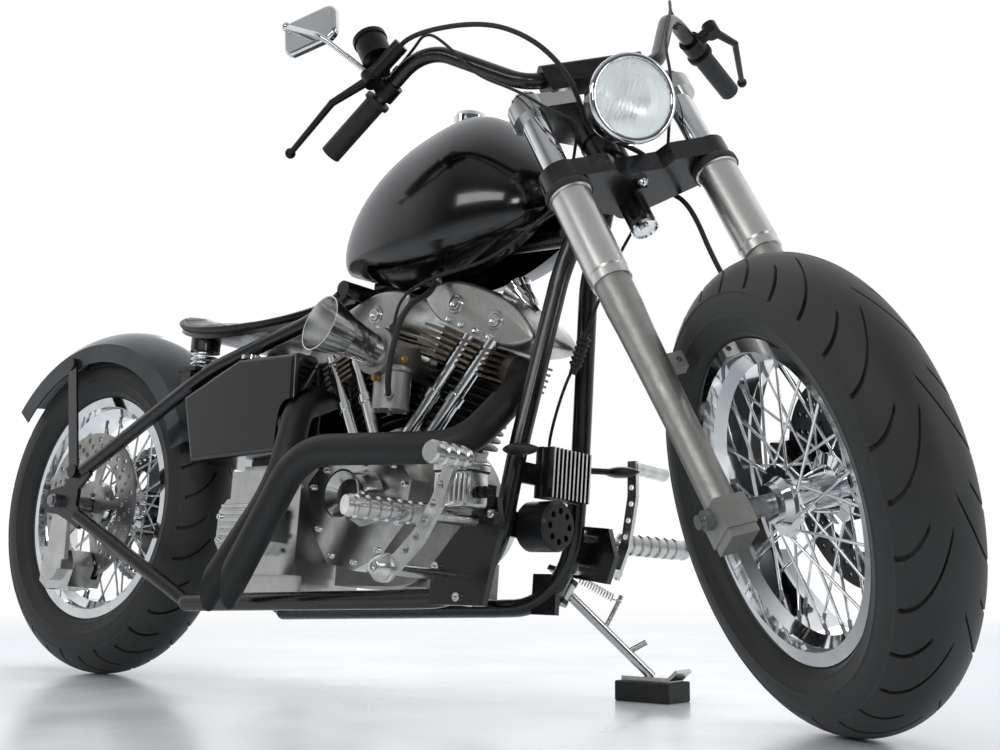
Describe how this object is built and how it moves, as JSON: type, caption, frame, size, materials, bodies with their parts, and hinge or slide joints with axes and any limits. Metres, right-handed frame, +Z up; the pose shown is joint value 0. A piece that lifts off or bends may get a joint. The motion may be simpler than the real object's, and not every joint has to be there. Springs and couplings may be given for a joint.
{
  "type": "chopper motorcycle",
  "caption": "Chopper motorcycle with a rigid tube frame, an open vee engine, wire wheels, a raked fork turned to its stop and a sprung solo seat, parked on its side stand.",
  "frame": {"origin": "centre of the whole box in plan, on the floor under the tyres", "axes": "+X forward along the machine, +Y to the rider's left, +Z up; the machine leans to its left on the side stand with the fork turned right"},
  "size_m": [2.166, 0.876, 1.1483],
  "materials": {
    "tyre": "matt black road rubber",
    "chrome": "bright plated metal",
    "steel": "brushed steel",
    "satin_alloy": "satin cast and turned aluminium",
    "raw_alloy": "raw grey casting",
    "frame_black": "gloss black coat",
    "gloss_black": "deep gloss black paint",
    "fender_grey": "dark satin metal",
    "pipe_black": "matt black heat-proof coat",
    "iron_black": "black finned iron",
    "leather": "dark worn leather",
    "rubber": "black rubber",
    "dark_plastic": "dark moulded plastic",
    "glass": "clear fluted glass"
  },
  "bodies": {
    "chassis": {"rear_axle": "steel", "drive_chain": "steel", "rear_caliper": "frame_black", "frame_backbone": "frame_black", "cylinders": "iron_black", "cylinder_heads": "iron_black", "rocker_boxes": "raw_alloy", "pushrod_tubes": "chrome", "crankcase": "raw_alloy", "carburettor": "raw_alloy", "velocity_stack": "chrome", "exhausts": "pipe_black", "gearbox": "raw_alloy", "engine_covers": "satin_alloy", "fuel_tank": "gloss_black", "seat": "leather", "seat_pan": "frame_black", "seat_springs": "chrome", "oil_tank": "gloss_black", "filler_caps": "chrome", "rear_fender": "fender_grey", "frame_stays": "frame_black", "rear_master_cylinder": "satin_alloy", "footrests": "satin_alloy", "foot_levers": "satin_alloy", "regulator": "frame_black", "oil_filter": "frame_black", "indicators": "dark_plastic", "horn": "chrome", "frame_cradle": "frame_black", "throttle_cable": "rubber", "clutch_cable": "rubber", "fuel_hose": "rubber"},
    "rear_wheel_set": {"rear_tyre": "tyre", "rear_wheel": "chrome", "rear_disc": "steel", "rear_sprocket": "steel"},
    "front_wheel_set": {"front_tyre": "tyre", "front_wheel": "chrome", "front_disc": "steel"},
    "steering": {"fork_tubes": "chrome", "fork_sliders": "raw_alloy", "fork_covers": "satin_alloy", "lower_tree": "frame_black", "upper_tree": "satin_alloy", "handlebar": "frame_black", "grips": "rubber", "hand_levers": "frame_black", "mirror": "chrome", "headlight": "chrome", "headlight_glass": "glass", "front_axle": "steel", "front_caliper": "frame_black", "front_brake_hose": "rubber"},
    "stand": {"side_stand": "satin_alloy", "stand_pad": "rubber"}
  },
  "joints": [
    {"name": "rear_wheel_spin", "type": "hinge", "parent": "chassis", "child": "rear_wheel_set", "pos_m": [-0.76309, -0.10059, 0.3187], "axis": [0, 0.9948, -0.1019], "continuous": true},
    {"name": "steering_turn", "type": "hinge", "parent": "chassis", "child": "steering", "pos_m": [0.41904, -0.04752, 0.83667], "axis": [-0.521, 0.087, 0.8491], "range_deg": [0, 74], "deforming": ["throttle_cable", "clutch_cable"]},
    {"name": "front_wheel_spin", "type": "hinge", "parent": "steering", "child": "front_wheel_set", "pos_m": [0.7986, -0.13744, 0.31327], "axis": [0.5137, 0.8264, 0.2305], "continuous": true},
    {"name": "side_stand_swing", "type": "hinge", "parent": "chassis", "child": "stand", "pos_m": [0.26691, 0.02166, 0.1775], "axis": [0.2005, 0.4741, 0.8573], "range_deg": [0, 100]}
  ]
}
